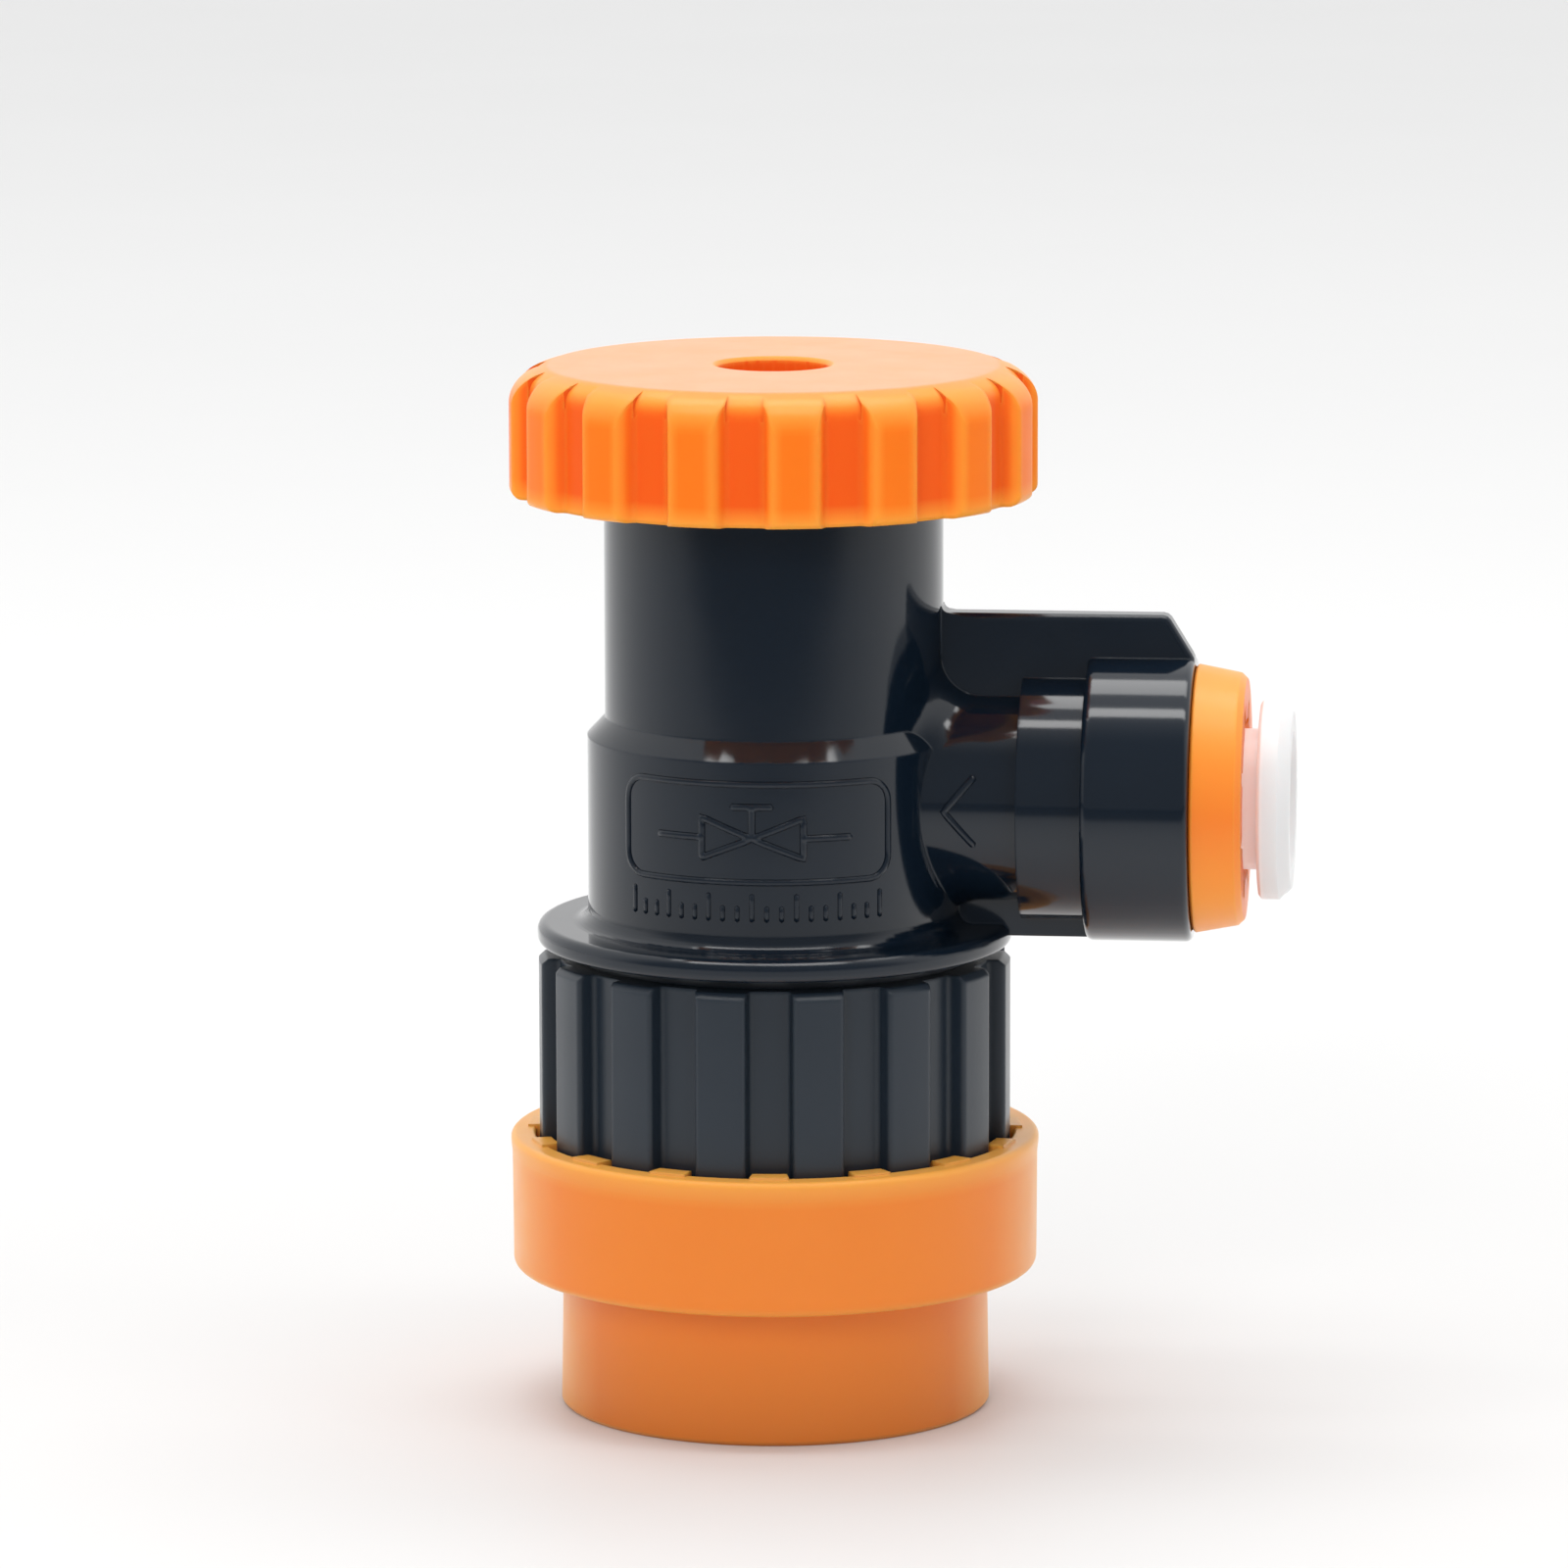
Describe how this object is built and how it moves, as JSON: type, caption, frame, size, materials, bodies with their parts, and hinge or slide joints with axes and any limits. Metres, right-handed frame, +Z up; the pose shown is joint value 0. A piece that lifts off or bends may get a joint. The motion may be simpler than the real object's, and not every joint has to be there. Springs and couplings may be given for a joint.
{
  "type": "flow control valve",
  "caption": "Hand-turned flow control valve: fluted orange knob on a black body, side push-to-connect tube port, and a ball-lock quick coupling with an orange pull collar below.",
  "frame": {"origin": "centre of the collar's bottom rest face, on the valve's axis", "axes": "+Z up the valve's axis to the knob, +X out of the tube port"},
  "size_m": [0.0523, 0.0354, 0.0701],
  "materials": {
    "body_black": "gloss, moulded",
    "barrel_black": "satin, moulded",
    "collar_orange": "semi-gloss, moulded",
    "knob_orange": "semi-gloss, moulded",
    "retainer_orange": "semi-gloss, moulded",
    "collet_white": "translucent white, moulded",
    "ball_steel": "polished",
    "spring_steel": "bright wire",
    "clip_steel": "stamped",
    "screw_steel": "turned",
    "seal_black": "matte",
    "insert_white": "matte, moulded",
    "needle_white": "matte, moulded"
  },
  "bodies": {
    "valve_body": {"main_body": "body_black", "ribbed_barrel": "barrel_black", "body_o_ring": "seal_black", "collar_snap_ring": "clip_steel", "spring_spider": "insert_white", "flow_seat": "insert_white", "knob_circlip": "clip_steel", "tube_retainer": "retainer_orange", "tube_o_ring_inner": "seal_black", "tube_o_ring_outer": "seal_black", "o_ring_spacer": "insert_white"},
    "collar": {"release_collar": "collar_orange", "collar_spring": "spring_steel"},
    "ball_1": {"locking_ball_1": "ball_steel"},
    "ball_2": {"locking_ball_2": "ball_steel"},
    "ball_3": {"locking_ball_3": "ball_steel"},
    "poppet": {"poppet": "needle_white", "poppet_seal": "seal_black", "poppet_spring": "spring_steel"},
    "knob": {"flow_knob": "knob_orange", "knob_spindle": "insert_white", "knob_screw": "screw_steel"},
    "needle": {"flow_needle": "needle_white", "needle_o_ring": "seal_black"},
    "collet": {"tube_collet": "collet_white", "collet_grip_ring": "clip_steel"}
  },
  "joints": [
    {"name": "knob_turn", "type": "hinge", "parent": "valve_body", "child": "knob", "pos_m": [0, 0, 0.0658], "axis": [0, 0, 1], "range_deg": [-360, 360]},
    {"name": "needle_lift", "type": "slide", "parent": "valve_body", "child": "needle", "axis": [0, 0, 1], "range_m": [-0.0012, 0.0012]},
    {"name": "collar_lift", "type": "slide", "parent": "valve_body", "child": "collar", "axis": [0, 0, 1], "range_m": [0, 0.0042], "stiffness_N_per_m": 700, "springref_m": -0.006, "deforming": ["collar_spring"]},
    {"name": "ball_1_out", "type": "slide", "parent": "valve_body", "child": "ball_1", "axis": [0, 1, 0], "range_m": [0, 0.00075]},
    {"name": "ball_2_out", "type": "slide", "parent": "valve_body", "child": "ball_2", "axis": [-0.866, -0.5, 0], "range_m": [0, 0.00075]},
    {"name": "ball_3_out", "type": "slide", "parent": "valve_body", "child": "ball_3", "axis": [0.866, -0.5, 0], "range_m": [0, 0.00075]},
    {"name": "poppet_lift", "type": "slide", "parent": "valve_body", "child": "poppet", "axis": [0, 0, 1], "range_m": [0, 0.003], "stiffness_N_per_m": 500, "springref_m": -0.003, "deforming": ["poppet_spring"]},
    {"name": "collet_push", "type": "slide", "parent": "valve_body", "child": "collet", "axis": [-1, 0, 0], "range_m": [0, 0.0009]}
  ],
  "couplings": [
    {"joint": "needle_lift", "follows": "knob_turn", "m_per_rad": 0.00019098},
    {"joint": "ball_1_out", "follows": "collar_lift", "ratio": 0.17857},
    {"joint": "ball_2_out", "follows": "collar_lift", "ratio": 0.17857},
    {"joint": "ball_3_out", "follows": "collar_lift", "ratio": 0.17857}
  ]
}
